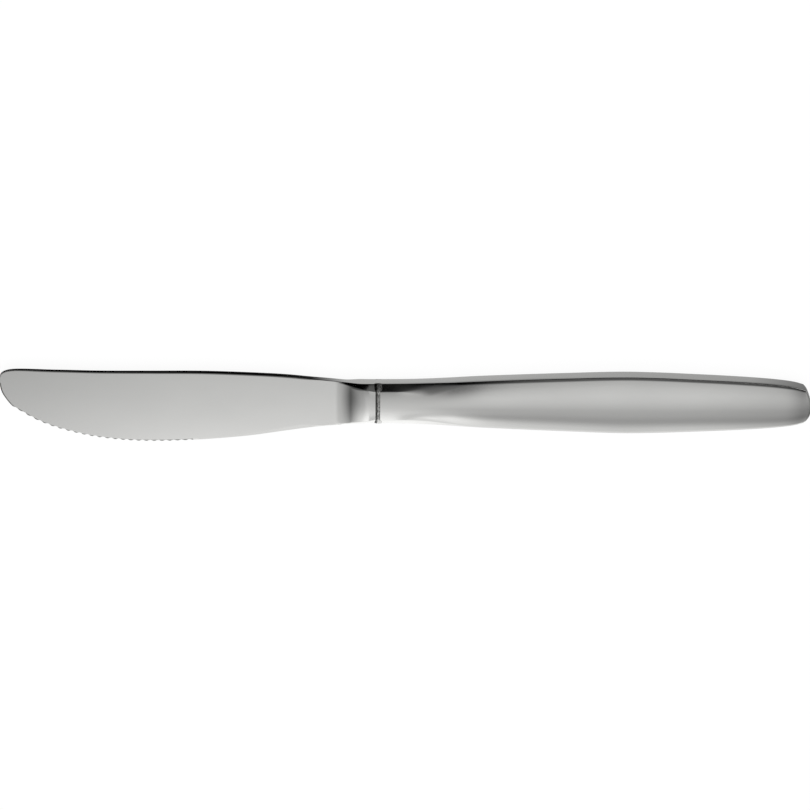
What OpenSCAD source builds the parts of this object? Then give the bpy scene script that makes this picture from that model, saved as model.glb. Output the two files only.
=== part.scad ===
// Table knife: a forged, serrated blade with its bolster, and a hollow handle
// of two pressed half shells. X runs from the tip to the butt, Y from the
// cutting edge to the spine, and Z up through the thickness. The knife lies on
// its side with its lowest place at Z 0. Lengths are in millimetres.

/* [Blade] */
// Length from the tip to the middle of the joint with the handle
blade_length = 98; // [90:0.5:112]
// Height of the spine above the centre line, near the tip
spine_height = 8.25; // [7.5:0.05:9.5]
// Depth of the belly below the centre line, at its deepest
belly_depth = 11.6; // [10:0.1:13.5]
// Thickness of the spine at the foot of the bolster
spine_thickness = 2.1; // [1.8:0.05:2.6]
// Thickness of the spine at the tip
tip_thickness = 1; // [0.8:0.05:1.4]
// Thickness that the flats leave at the belly's deepest, before the edge is ground
edge_thickness = 0.6; // [0.4:0.05:0.8]
// Angle of each ground side of the plain cutting edge from the middle plane
edge_angle = 27; // [20:1:35]
// Thickness that the grinding leaves on the cutting edge
edge_land = 0.1; // [0.06:0.01:0.16]
// Distance from the tip to the place where the ground edge starts to run out
edge_length = 82; // [76:0.5:84]

/* [Serration] */
// Distance from the tip to the first scallop
serration_start = 4; // [3:0.1:6]
// Length of the toothed stretch, measured along the knife
serration_length = 47; // [30:1:60]
// Distance from one tooth to the next, measured along the knife
tooth_pitch = 2.04; // [1.8:0.02:2.6]
// Depth of each scallop
tooth_depth = 0.65; // [0.4:0.05:0.8]
// Tilt of the grinding wheel, which leaves short flutes on the back
tooth_tilt = 30; // [0:5:45]

/* [Bolster] */
// Length of the bolster from its foot to the middle of the joint
bolster_length = 11.4; // [11:0.1:14]
// Length of the flare from the blade's flat to the full neck
flare_length = 9.2; // [7:0.1:10]
// Height of the neck between its flat top and its flat bottom
neck_height = 10.86; // [10:0.02:12]
// Thickness of the neck
neck_thickness = 8.2; // [7.6:0.1:9]
// Width of the flat strip along the top and the bottom of the neck
neck_flat = 3.6; // [3:0.1:4.2]
// Width of the sloping shoulder beside that strip
shoulder_width = 2.5; // [2:0.05:2.8]
// Slope of the shoulder, measured from the front face of the knife
shoulder_angle = 48; // [44:1:52]

/* [Joint] */
// Width of the soldered joint, measured along the knife
joint_width = 1.2; // [0.8:0.1:1.6]
// Depth of the solder below the faces beside it
joint_recess = 0.15; // [0.05:0.05:0.3]
// Depth of the bolster's spigot in the mouth of the handle
spigot_depth = 3; // [2:0.5:5]
// Clearance round the spigot
spigot_clearance = 0.08; // [0.05:0.01:0.12]

/* [Tang] */
// Length of the tang behind the bolster
tang_length = 40; // [30:1:48]
// Height of the tang where it leaves the bolster
tang_height = 5.6; // [4.6:0.1:6.2]
// Height of the tang at its end
tang_end_height = 4.2; // [3.4:0.1:4.6]
// Thickness of the tang
tang_thickness = 2.6; // [2:0.1:3]
// Depth of the notches that key the tang into the cement
notch_depth = 0.7; // [0.4:0.1:1]
// Width of each notch, measured along the knife
notch_width = 3; // [2:0.5:4]
// Clearance round the tang and inside the shells, which the cement leaves
cement_clearance = 0.05; // [0.03:0.01:0.08]
// Length of the cement past the end of the tang
cement_cover = 4; // [2:0.5:8]

/* [Handle] */
// Length from the middle of the joint to the end of the butt
handle_length = 112; // [104:1:130]
// Height of the handle at its widest place
palm_height = 15.3; // [14:0.1:17.5]
// Thickness of the handle at its widest place
palm_thickness = 8.4; // [7.8:0.1:10]
// Distance from the middle of the joint to the widest place
palm_distance = 64.6; // [58:0.2:70]
// Height of the handle at the corners of the butt
butt_height = 9.1; // [8:0.1:11]
// Thickness of the handle at the butt
butt_thickness = 7; // [6.4:0.1:8]
// Length by which the butt bulges past its corners
butt_bulge = 1.75; // [1:0.05:2.4]
// Width of the broken edge round the butt
butt_edge = 0.3; // [0.2:0.05:0.4]
// Width of the flat strip along the top and the bottom of the handle
handle_flat = 4.8; // [4:0.1:5.2]
// Width of the eased edge beside that strip
eased_edge = 0.5; // [0.35:0.05:0.7]
// Length over which the neck's shoulder shrinks to the eased edge
shoulder_run = 19; // [14:0.5:26]
// Wall of the pressed half shells
shell_wall = 0.9; // [0.7:0.05:1]
// Width of the seam weld between the half shells
seam_width = 0.4; // [0.3:0.05:0.6]

/* [Hidden] */

// Stations of the blade's outline, as shares of its length and of its height
nose_shares = [[0.03, 0.005], [0.009, 0.043], [0.0018, 0.095], [0, 0.17], [0.0031, 0.295], [0.0087, 0.378]];
belly_shares = [[0.028, 0.513], [0.05, 0.585], [0.093, 0.711], [0.135, 0.798], [0.178, 0.865],
    [0.241, 0.939], [0.326, 0.99], [0.4, 1]];
// Stations as shares of the blade's length and of the drop from belly to neck
heel_shares = [[0.475, 0.965], [0.58, 0.84], [0.664, 0.7], [0.749, 0.49], [0.834, 0.285],
    [0.918, 0.115], [0.96, 0.02]];
spine_shares = [[0.96, 0], [0.918, 0.03], [0.876, 0.155], [0.834, 0.285], [0.79, 0.45],
    [0.749, 0.58], [0.664, 0.74], [0.537, 0.845], [0.4, 0.865], [0.264, 0.88], [0.156, 0.955]];
// Stations as shares of the distance to the palm and of the growth in height
palm_shares = [[0.13, 0.035], [0.26, 0.115], [0.39, 0.305], [0.52, 0.5], [0.65, 0.67], [0.78, 0.82], [0.9, 0.95]];
// Stations as shares of the distance from palm to butt and of the loss in height
butt_shares = [[0.18, 0.05], [0.36, 0.165], [0.55, 0.3], [0.73, 0.465], [0.86, 0.64], [0.95, 0.82]];
// Share of the flare's length at which its hollow turns into its crown
flare_turn_share = 0.44;
// Shares of the flare's length between which the shoulder opens and the top strip widens
shoulder_open_shares = [0.42, 1.15];
strip_open_shares = [0.3, 0.8];
// Shares of a wall's thickness by which its inner shoulder and inner edge shrink
inner_shoulder_share = 0.86;
inner_edge_share = 0.65;
// Share of the eased edge that is left as the inside corner of a wall
inner_corner_share = 0.2;
// Places of the tang's notches, as shares of its length
notch_shares = [0.45, 0.72];
// Share of a scallop's width by which it overlaps its neighbours
scallop_overlap_share = 0.07;
// Share of the end wall's thickness over which the cavity closes
cavity_close_share = 0.3;

// Overrun of every cutting solid past what it cuts
overrun = 2;
// Least distance between two points of the blade's outline
point_gap = 0.2;
// Steps between two stations of a curve
curve_steps = 3;
// Rows of points along the flare and along the handle
flare_rows = 12;
handle_rows = 28;
cement_rows = 10;
// Steps across the crown of a section
crown_steps = 10;

// Places along the knife
overall_length = blade_length + handle_length;
tip_x = -overall_length / 2;
joint_x = tip_x + blade_length;
foot_x = joint_x - bolster_length;
bolster_end_x = joint_x - joint_width / 2;
shell_x = joint_x + joint_width / 2;
spigot_end_x = shell_x + spigot_depth;
palm_x = joint_x + palm_distance;
butt_x = tip_x + overall_length;
corner_x = butt_x - butt_bulge;
cavity_x = corner_x - shell_wall;
tang_end_x = bolster_end_x + tang_length;
cement_end_x = tang_end_x + cement_cover;

// Half sizes of the sections, measured from the centre line
neck_half = neck_height / 2;
palm_half = palm_height / 2;
butt_half = butt_height / 2;
neck_shoulder_z = neck_flat / 2 + shoulder_width * sin(shoulder_angle);
handle_shoulder_z = handle_flat / 2 + eased_edge * sin(shoulder_angle);
inner_corner = eased_edge * inner_corner_share;
seam_half = seam_width / 2;

// Height of the knife's middle plane
middle_z = max(palm_thickness, neck_thickness) / 2;

// Slopes of the blade's flats along the knife and across it
deepest_x = tip_x + blade_length * belly_shares[len(belly_shares) - 1][0];
slope_x = (spine_thickness - tip_thickness) / 2 / (foot_x - tip_x);
slope_y = ((spine_thickness - edge_thickness) / 2 - slope_x * (foot_x - deepest_x)) / (neck_half + belly_depth);

function mix(a, b, share) = a + (b - a) * share;
function clamp_share(a) = min(1, max(0, a));
function ease(a) = let(s = clamp_share(a)) s * s * (3 - 2 * s);

// Smooth curve through a list of points, with knots spaced by the root of each chord
function tangent(a, b, c, ab, bc) = (b - a) / ab - (c - a) / (ab + bc) + (c - b) / bc;
function curve_point(a, b, c, d, s) =
    let(ab = sqrt(norm(b - a)), bc = sqrt(norm(c - b)), cd = sqrt(norm(d - c)))
    let(start = bc * tangent(a, b, c, ab, bc), end = bc * tangent(b, c, d, bc, cd))
    let(s2 = s * s, s3 = s2 * s)
    (2 * s3 - 3 * s2 + 1) * b + (s3 - 2 * s2 + s) * start + (3 * s2 - 2 * s3) * c + (s3 - s2) * end;
function curve(points) =
    let(n = len(points), all = concat([2 * points[0] - points[1]], points, [2 * points[n - 1] - points[n - 2]]))
    concat([for (i = [0:n - 2], k = [0:curve_steps - 1])
        curve_point(all[i], all[i + 1], all[i + 2], all[i + 3], k / curve_steps)], [points[n - 1]]);
function reversed(list) = [for (i = [len(list) - 1:-1:0]) list[i]];

// Outline of the blade, measured from the centre line
function blade_place(shares, top, bottom) =
    [for (s = shares) [tip_x + blade_length * s[0], mix(top, bottom, s[1])]];
nose_top = blade_place([nose_shares[3]], spine_height, -belly_depth)[0];
upper_curve = reversed(curve(concat([[joint_x, neck_half]],
    blade_place(spine_shares, neck_half, spine_height),
    blade_place([for (i = [0:3]) nose_shares[i]], spine_height, -belly_depth))));
lower_curve = curve(concat(blade_place([for (i = [3:5]) nose_shares[i]], spine_height, -belly_depth),
    blade_place(belly_shares, spine_height, -belly_depth),
    blade_place(heel_shares, -neck_half, -belly_depth), [[joint_x, -neck_half]]));
teeth_end_x = tip_x + serration_start + serration_length;
edge_path = [for (p = lower_curve) if (p[0] > teeth_end_x - tooth_pitch && p[0] < tip_x + edge_length) p];
function spine_y(x) = lookup(x, upper_curve);
function belly_y(x) = lookup(x, lower_curve);

// Shift that centres the knife across its height
outline_heights = [for (p = concat(upper_curve, lower_curve)) p[1]];
centre_y = -(max(palm_half, max(outline_heights)) + min(outline_heights)) / 2;

function before(x, list) = [for (p = list) if (p[0] < x - point_gap) p];
blade_outline = concat(reversed(before(foot_x, upper_curve)), before(foot_x, lower_curve),
    [[foot_x, belly_y(foot_x)], [foot_x, spine_y(foot_x)]]);

// Half thickness of the blade's flats
function flat_z(x, y) = spine_thickness / 2 - slope_x * (foot_x - x) - slope_y * (neck_half - y);

// Half height, shoulder, edge and half thickness of the handle along its length
handle_curve = curve(concat([[joint_x, neck_half]],
    [for (s = palm_shares) [mix(joint_x, palm_x, s[0]), mix(neck_half, palm_half, s[1])]], [[palm_x, palm_half]],
    [for (s = butt_shares) [mix(palm_x, corner_x, s[0]), mix(palm_half, butt_half, s[1])]], [[corner_x, butt_half]]));
function handle_half(x) = lookup(x, handle_curve);
function run_share(x) = ease((x - joint_x) / shoulder_run);
function shoulder_z(x) = mix(neck_shoulder_z, handle_shoulder_z, run_share(x));
function edge_size(x) = mix(shoulder_width, eased_edge, run_share(x));
function thick_half(x) =
    let(end = x < palm_x ? neck_thickness : butt_thickness)
    let(share = x < palm_x ? (palm_x - x) / (palm_x - joint_x) : (x - palm_x) / (corner_x - palm_x))
    mix(palm_thickness, end, 1 - cos(90 * clamp_share(share))) / 2;

// Front half of a section, from its top to its bottom, as points in Y and Z
function section_half(half, shoulder, edge, thick) =
    let(top = half - edge * cos(shoulder_angle), rim = shoulder - edge * sin(shoulder_angle))
    concat([[half, rim]],
        [for (i = [0:crown_steps]) let(s = 1 - 2 * i / crown_steps) [top * s, mix(thick, shoulder, s * s)]],
        [[-half, rim]]);
// Front half of the handle's section at a place, shrunk by a wall
function handle_section(x, wall) = section_half(handle_half(x) - wall,
    shoulder_z(x) - wall * inner_shoulder_share,
    max(edge_size(x) - wall * inner_edge_share, wall > 0 ? inner_corner : edge_size(x)), thick_half(x) - wall);
function neck_section(wall) = handle_section(joint_x, wall);
function full_section(half) = concat(half, [for (p = reversed(half)) [p[0], -p[1]]]);
function at_x(x, section) = [for (p = section) [x, p[0], p[1]]];

// Closed solid between front rows and back rows of points, which pair up by their places in the row
module row_loft(front, back) {
    m = len(front[0]);
    n = 2 * m;
    last = (len(front) - 1) * n;
    rings = [for (i = [0:len(front) - 1]) concat(front[i], reversed(back[i]))];
    sides = [for (i = [0:len(rings) - 2], j = [0:n - 1]) let(k = (j + 1) % n, a = i * n, b = a + n)
        each [[a + j, b + k, a + k], [a + j, b + j, b + k]]];
    start = [for (j = [0:m - 2]) each [[j, j + 1, n - 1 - j], [j + 1, n - 2 - j, n - 1 - j]]];
    end = [for (face = start) [for (k = reversed(face)) k + last]];
    polyhedron([for (ring = rings) each ring], concat(start, sides, end));
}
// Closed solid through front half sections at places along the knife, mirrored to the back
module section_loft(places, sections) {
    front = [for (i = [0:len(places) - 1]) [for (p = sections[i]) [places[i], p[0], p[1]]]];
    row_loft(front, [for (row = front) [for (p = row) [p[0], p[1], -p[2]]]]);
}

// Half of space under one of the blade's flats
module under_flat() {
    reach = overall_length;
    turn_y = atan(slope_x);
    turn_x = atan(slope_y * cos(turn_y));
    translate([foot_x, neck_half, spine_thickness / 2]) rotate([turn_x, -turn_y, 0])
        translate([-reach, -reach, -reach]) cube([2 * reach, 2 * reach, reach]);
}

// Flat grinding cuts, one along each chord of the plain edge, that leave one side of it
module edge_grinders() {
    chords = [for (i = [1:len(edge_path) - 1]) [edge_path[i - 1], edge_path[i]]];
    for (chord = chords) {
        step = chord[1] - chord[0];
        reach = norm(step) + 2 * point_gap;
        translate([each (chord[0] + chord[1]) / 2, edge_land / 2]) rotate([edge_angle, 0, atan2(step[1], step[0])])
            translate([-reach / 2, -belly_depth / 2, 0]) cube([reach, belly_depth, belly_depth]);
    }
}

// Round cutters that leave the scallops between the teeth
module scallop_cutters() {
    count = floor(serration_length / tooth_pitch);
    for (i = [0:count - 1]) {
        x = tip_x + serration_start + tooth_pitch * i;
        rise = belly_y(x + tooth_pitch / 2) - belly_y(x - tooth_pitch / 2);
        turn = atan2(rise, tooth_pitch);
        width = norm([tooth_pitch, rise]) * (1 + scallop_overlap_share);
        sunk = tooth_depth * cos(tooth_tilt);
        radius = (width * width / 4 + sunk * sunk) / (2 * sunk);
        translate([x, belly_y(x), 0]) rotate([0, 0, turn])
            translate([0, tooth_depth - radius / cos(tooth_tilt), 0]) rotate([tooth_tilt, 0, 0])
                cylinder(h = radius + 2 * overrun, r = radius, center = true, $fn = 64);
    }
}

// Ground plate of the blade, up to the foot of the bolster
module blade_plate() {
    difference() {
        intersection() {
            translate([0, 0, -spine_thickness]) linear_extrude(2 * spine_thickness) polygon(blade_outline);
            under_flat();
            mirror([0, 0, 1]) under_flat();
        }
        edge_grinders();
        mirror([0, 0, 1]) edge_grinders();
        scallop_cutters();
    }
}

// Share of the flare's rise, hollow first and then crowned
function flare_share(x) =
    let(s = clamp_share((x - foot_x) / flare_length))
    s < flare_turn_share ? s * s / flare_turn_share : 1 - (1 - s) * (1 - s) / (1 - flare_turn_share);
function open_share(x, shares) =
    ease((x - foot_x - flare_length * shares[0]) / (flare_length * (shares[1] - shares[0])));
// Front half of the bolster's section: the rising front face meets the neck's shoulders
function bolster_section(x) =
    let(s = flare_share(x), strip = open_share(x, strip_open_shares))
    let(run = mix(point_gap, shoulder_width * cos(shoulder_angle), open_share(x, shoulder_open_shares)))
    let(top = spine_y(x), bottom = belly_y(x), high = top - run, low = bottom + run)
    let(level = mix(flat_z(x, 0), neck_shoulder_z, s), lean = slope_y * (1 - s))
    let(crown = (neck_thickness / 2 - neck_shoulder_z) * s)
    concat([[top, mix(flat_z(x, top), neck_flat / 2, strip)]],
        [for (i = [0:crown_steps]) let(t = 2 * i / crown_steps - 1, y = mix(high, low, (t + 1) / 2))
            [y, level + lean * y + crown * (1 - t * t)]],
        [[bottom, mix(flat_z(x, bottom), neck_flat / 2, strip)]]);
module bolster() {
    places = concat([for (i = [0:flare_rows]) foot_x + flare_length * i / flare_rows], [bolster_end_x]);
    section_loft(places, [for (x = places) bolster_section(x)]);
}

// Core of the forging, where the blade's plate runs into the bolster
module forging_core() {
    translate([foot_x - neck_half, -neck_half / 2, -edge_thickness / 2])
        cube([neck_height, neck_half, edge_thickness]);
}

// Outline of the tang with its notches, grown by a clearance
function tang_side(grow) =
    let(root = tang_height / 2 + grow, end = tang_end_height / 2 + grow, notch = notch_width / 2 - grow)
    concat([[bolster_end_x - spigot_depth, root], [bolster_end_x, root]],
        [for (s = notch_shares) let(x = bolster_end_x + tang_length * s, y = mix(root, end, s))
            each [[x - notch, y], [x - notch / 2, y - notch_depth], [x + notch / 2, y - notch_depth], [x + notch, y]]],
        [[tang_end_x - tang_thickness, end], [tang_end_x + grow, end - tang_thickness / 2]]);
module tang_bar(grow) {
    side = tang_side(grow);
    translate([0, 0, -tang_thickness / 2 - grow]) linear_extrude(tang_thickness + 2 * grow)
        polygon(concat(side, [for (p = reversed(side)) [p[0], -p[1]]]));
}

// Straight bar along the knife with the neck's section, shrunk by a wall
module neck_bar(from_x, to_x, section) {
    translate([from_x, 0, 0]) rotate([90, 0, 90]) linear_extrude(to_x - from_x) polygon(full_section(section));
}

// Moves a piece from the knife's centre line to its resting place
module lay_down() {
    translate([0, centre_y, middle_z]) children();
}

module blade() {
    color("gainsboro") lay_down() {
        blade_plate();
        union() {
            forging_core();
            bolster();
            neck_bar(bolster_end_x, spigot_end_x, neck_section(shell_wall + spigot_clearance));
            tang_bar(0);
        }
    }
}

// Places of the rows along the handle, the last ones inside its end wall
shell_places = concat([for (i = [0:handle_rows]) mix(shell_x, cavity_x, i / handle_rows)],
    [cavity_x + shell_wall * cavity_close_share]);
// Length by which the butt stands past its corners at a height
butt_radius = (butt_half * butt_half + butt_bulge * butt_bulge) / (2 * butt_bulge);
function bulge(y) = butt_bulge - butt_radius + sqrt(butt_radius * butt_radius - y * y);
// A front section with the edges that meet the seam
function shell_edge(section) = concat([[section[0][0], seam_half]], section,
    [[section[len(section) - 1][0], seam_half]]);
// Rows of points that close the butt, the last one with its edge broken
butt_section = shell_edge(handle_section(corner_x, 0));
butt_row = [for (p = butt_section) [corner_x + bulge(p[0]) - butt_edge, p[0], p[1]]];
butt_face = [for (p = butt_section) let(y = p[0] * (1 - butt_edge / butt_half))
    [corner_x + bulge(y), y, max(seam_half, p[1] - butt_edge)]];
// Heights of a row of points on the seam, inside a wall
function seam_heights(half) = let(n = len(butt_section) - 1)
    [for (j = [0:n]) (half - shell_wall) * (1 - 2 * j / n)];

// Pressed half shell on the front side of the middle plane
module half_shell() {
    outer = concat([for (x = shell_places) at_x(x, shell_edge(handle_section(x, 0)))], [butt_row, butt_face]);
    cavity = [for (x = shell_places) if (x <= cavity_x) at_x(x, shell_edge(handle_section(x, shell_wall)))];
    closed = concat([for (x = shell_places) if (x > cavity_x) [for (y = seam_heights(butt_half)) [x, y, seam_half]]],
        [for (edge = [butt_edge, 0]) [for (y = seam_heights(butt_half)) [corner_x + bulge(y) - edge, y, seam_half]]]);
    row_loft(outer, concat(cavity, closed));
}
module handle_shell_front() {
    color("silver") lay_down() half_shell();
}
module handle_shell_back() {
    color("silver") lay_down() mirror([0, 0, 1]) half_shell();
}

// Weld along the top, the butt and the bottom of the handle
module seam_weld() {
    top = [for (x = shell_places) [x, handle_half(x)]];
    end = concat([[butt_row[0][0], butt_half]], [for (p = butt_face) [p[0], p[1]]], [[butt_row[0][0], -butt_half]]);
    inside = [for (x = shell_places) if (x <= cavity_x) [x, handle_half(x) - shell_wall]];
    outer_path = concat(top, end, [for (p = reversed(top)) [p[0], -p[1]]]);
    inner_path = concat([for (p = inside) [p[0], -p[1]]], reversed(inside));
    color("darkgray") lay_down() translate([0, 0, -seam_half]) linear_extrude(seam_width)
        polygon(concat(outer_path, inner_path));
}

// Solder that fills the joint round the spigot, a little below the faces
module bolster_solder() {
    section = section_half(neck_half, neck_shoulder_z - joint_recess, shoulder_width, neck_thickness / 2 - joint_recess);
    color("dimgray") lay_down() difference() {
        neck_bar(bolster_end_x, shell_x, section);
        neck_bar(bolster_end_x - overrun, shell_x + overrun, neck_section(shell_wall));
    }
}

// Cement that holds the tang in the handle
module tang_cement() {
    wall = shell_wall + cement_clearance;
    start_x = spigot_end_x + cement_clearance;
    places = [for (i = [0:cement_rows]) mix(start_x, cement_end_x, i / cement_rows)];
    color("tan") lay_down() difference() {
        section_loft(places, [for (x = places) handle_section(x, wall)]);
        tang_bar(cement_clearance);
    }
}

blade();
handle_shell_front();
handle_shell_back();
seam_weld();
bolster_solder();
tang_cement();
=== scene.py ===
"""A stainless table knife with a serrated blade and a hollow handle, on a white table.

The knife lies on its side. Its pieces are drawn in millimetres about its centre line,
with X from the tip to the butt, Y from the cutting edge to the spine and Z towards the
front face. Each is then brought to its place in the frame, in metres.
"""

import logging
import math
from bisect import bisect_right
from dataclasses import dataclass
from enum import Enum
from typing import Sequence

import bmesh
import bpy
from mathutils import Matrix, Vector, noise


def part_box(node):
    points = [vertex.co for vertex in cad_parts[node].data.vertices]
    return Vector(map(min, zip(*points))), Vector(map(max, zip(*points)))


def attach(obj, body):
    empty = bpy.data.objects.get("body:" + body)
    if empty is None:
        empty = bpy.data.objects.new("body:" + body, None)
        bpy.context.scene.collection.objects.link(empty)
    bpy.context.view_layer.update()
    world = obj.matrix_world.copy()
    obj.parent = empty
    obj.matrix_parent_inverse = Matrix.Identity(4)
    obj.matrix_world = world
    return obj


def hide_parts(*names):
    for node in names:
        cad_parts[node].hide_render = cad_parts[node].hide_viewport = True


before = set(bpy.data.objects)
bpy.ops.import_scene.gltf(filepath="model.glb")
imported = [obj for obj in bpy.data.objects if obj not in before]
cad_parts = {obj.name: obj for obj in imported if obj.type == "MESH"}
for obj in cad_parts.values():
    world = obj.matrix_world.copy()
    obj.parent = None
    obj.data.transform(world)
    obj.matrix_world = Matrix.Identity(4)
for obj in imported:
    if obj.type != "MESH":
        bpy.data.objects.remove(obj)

LOG = logging.getLogger("table_knife")
MM = 0.001
BODY = "root"
WHITE = (1.0, 1.0, 1.0, 1.0)
TINY = 1e-6
LONGEST_ROUNDING = 0.45
LONGEST_EASING = 0.75
NEARLY_PARALLEL = 0.05
Section = list[tuple[float, float]]
Share = tuple[float, float]
Table = Sequence[Share]
Row = list[bmesh.types.BMVert]
Socket = bpy.types.NodeSocket


def mix(start: float, end: float, share: float) -> float:
    """Value at a share of the way from start to end."""
    return start + (end - start) * share


def clamp(value: float, low: float = 0.0, high: float = 1.0) -> float:
    """Value kept between two limits."""
    return min(high, max(low, value))


def ease(share: float) -> float:
    """Share that starts and ends softly."""
    inside = clamp(share)
    return inside * inside * (3 - 2 * inside)


def between(value: float, places: Share) -> float:
    """Eased share of the way from the first of two places to the second."""
    return ease((value - places[0]) / (places[1] - places[0]))


def mix_section(start: Section, end: Section, share: float) -> Section:
    """Section at a share of the way from one section to another with as many points."""
    return [(mix(a[0], b[0], share), mix(a[1], b[1], share)) for a, b in zip(start, end)]


def spaced(start: float, end: float, step: float) -> list[float]:
    """Even places from start up to end, end left out, about a step apart."""
    count = max(1, round(abs(end - start) / step))
    return [mix(start, end, index / count) for index in range(count)]


def stood(x: float, section: Section, sign: int = 1) -> list[Vector]:
    """Points of a section stood at a place along the knife, mirrored by a sign of -1."""
    return [Vector((x, y, sign * z)) for y, z in section]


def softened(before: tuple, corner: tuple, after: tuple, reach: float, steps: int) -> Section:
    """Rounds a corner between two straight runs.

    Args:
        before: Point on the run that comes to the corner.
        corner: The sharp corner itself.
        after: Point on the run that leaves it.
        reach: Distance from the corner at which the rounding starts and ends.
        steps: Number of points to return.

    Returns:
        Points of the rounding, in order.
    """
    middle = Vector(corner)
    start, end = (middle + run * min(LONGEST_ROUNDING, reach / max(run.length, TINY))
                  for run in (Vector(before) - middle, Vector(after) - middle))
    return bent(start, middle, end, steps)


def bent(start: Vector, middle: Vector, end: Vector, steps: int) -> Section:
    """Points of a bend from start to end, drawn towards a point in the middle."""
    shares = [index / (steps - 1) for index in range(steps)]
    return [tuple(start * (1 - t) ** 2 + middle * 2 * t * (1 - t) + end * t * t) for t in shares]


def eased_crease(edge: tuple, crease: tuple, inner: tuple, slope: float, reach: float,
                 steps: int) -> Section:
    """Rounds the crease between a straight facet and a crowned face.

    Args:
        edge: Far edge of the facet, as Y and Z.
        crease: Where the facet meets the face.
        inner: Point of the face at which the rounding ends.
        slope: Slope of the face there.
        reach: Distance from the crease at which the rounding starts on the facet.
        steps: Number of points to return.

    Returns:
        Points of the rounding, from the facet to the face.
    """
    rise = (edge[1] - crease[1]) / (edge[0] - crease[0])
    corner = Vector(crease)
    if abs(rise - slope) > NEARLY_PARALLEL:
        y = (inner[1] - slope * inner[0] - crease[1] + rise * crease[0]) / (rise - slope)
        if min(inner[0], edge[0]) < y < max(inner[0], edge[0]):
            corner = Vector((y, crease[1] + rise * (y - crease[0])))
    away = Vector(edge) - corner
    start = corner + away * min(LONGEST_EASING, reach / away.length)
    return bent(start, corner, Vector(inner), steps)


class SmoothCurve:
    """Smooth curve in a plane through stations, which can be read by length or by X."""

    def __init__(self, stations: Table, steps: int = 24) -> None:
        """Draws the curve through the stations with so many steps between two of them."""
        points = [Vector(station) for station in stations]
        points = [2 * points[0] - points[1]] + points + [2 * points[-1] - points[-2]]
        self.points: list[Vector] = []
        for a, b, c, d in zip(points, points[1:], points[2:], points[3:]):
            self.points += [self._blend(a, b, c, d, k / steps) for k in range(steps)]
        self.points.append(points[-2])
        self.lengths = [0.0]
        for a, b in zip(self.points, self.points[1:]):
            self.lengths.append(self.lengths[-1] + (b - a).length)

    @staticmethod
    def _blend(a: Vector, b: Vector, c: Vector, d: Vector, share: float) -> Vector:
        """Point between b and c, with knots spaced by the root of each chord."""
        ab, bc, cd = (math.sqrt((q - p).length) for p, q in ((a, b), (b, c), (c, d)))
        start = bc * ((b - a) / ab - (c - a) / (ab + bc) + (c - b) / bc)
        end = bc * ((c - b) / bc - (d - b) / (bc + cd) + (d - c) / cd)
        s2, s3 = share * share, share ** 3
        return ((2 * s3 - 3 * s2 + 1) * b + (s3 - 2 * s2 + share) * start
                + (3 * s2 - 2 * s3) * c + (s3 - s2) * end)

    @property
    def length(self) -> float:
        """Whole length of the curve."""
        return self.lengths[-1]

    def at(self, distance: float) -> Vector:
        """Point at a distance along the curve."""
        place = clamp(distance, 0.0, self.length)
        index = min(bisect_right(self.lengths, place), len(self.lengths) - 1)
        low, high = self.lengths[index - 1], self.lengths[index]
        return self.points[index - 1].lerp(self.points[index], (place - low) / (high - low))

    def inward(self, distance: float, reach: float = 0.3) -> Vector:
        """Unit vector square to the curve, to the left of its direction."""
        step = self.at(distance + reach) - self.at(distance - reach)
        return Vector((-step.y, step.x)).normalized()

    def distance_at(self, x: float) -> float:
        """First distance along the curve at which it passes a place in X."""
        for index in range(1, len(self.points)):
            a, b = self.points[index - 1], self.points[index]
            if min(a.x, b.x) <= x <= max(a.x, b.x) and a.x != b.x:
                return mix(self.lengths[index - 1], self.lengths[index], (x - a.x) / (b.x - a.x))
        return 0.0 if abs(x - self.points[0].x) < abs(x - self.points[-1].x) else self.length

    def height(self, x: float) -> float:
        """Y of the curve at a place in X."""
        return self.at(self.distance_at(x)).y


@dataclass(frozen=True)
class Station:
    """Places along the knife and its centre line, read from the frame, in millimetres."""

    tip: float
    joint: float
    butt: float
    joint_width: float
    centre_y: float
    middle_z: float

    @classmethod
    def from_frame(cls) -> "Station":
        """Reads the places from the boxes of the frame's nodes."""
        blade_low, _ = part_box("blade")
        joint_low, joint_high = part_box("bolster_solder")
        _, handle_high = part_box("handle_shell_front")
        middle = (joint_low + joint_high) / 2 / MM
        width = (joint_high.x - joint_low.x) / MM
        return cls(tip=blade_low.x / MM, joint=middle.x, butt=handle_high.x / MM,
                   joint_width=width, centre_y=middle.y, middle_z=middle.z)

    @property
    def bolster_end(self) -> float:
        """End of the bolster, at the solder."""
        return self.joint - self.joint_width / 2

    @property
    def shell_start(self) -> float:
        """Mouth of the handle, at the solder."""
        return self.joint + self.joint_width / 2


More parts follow.
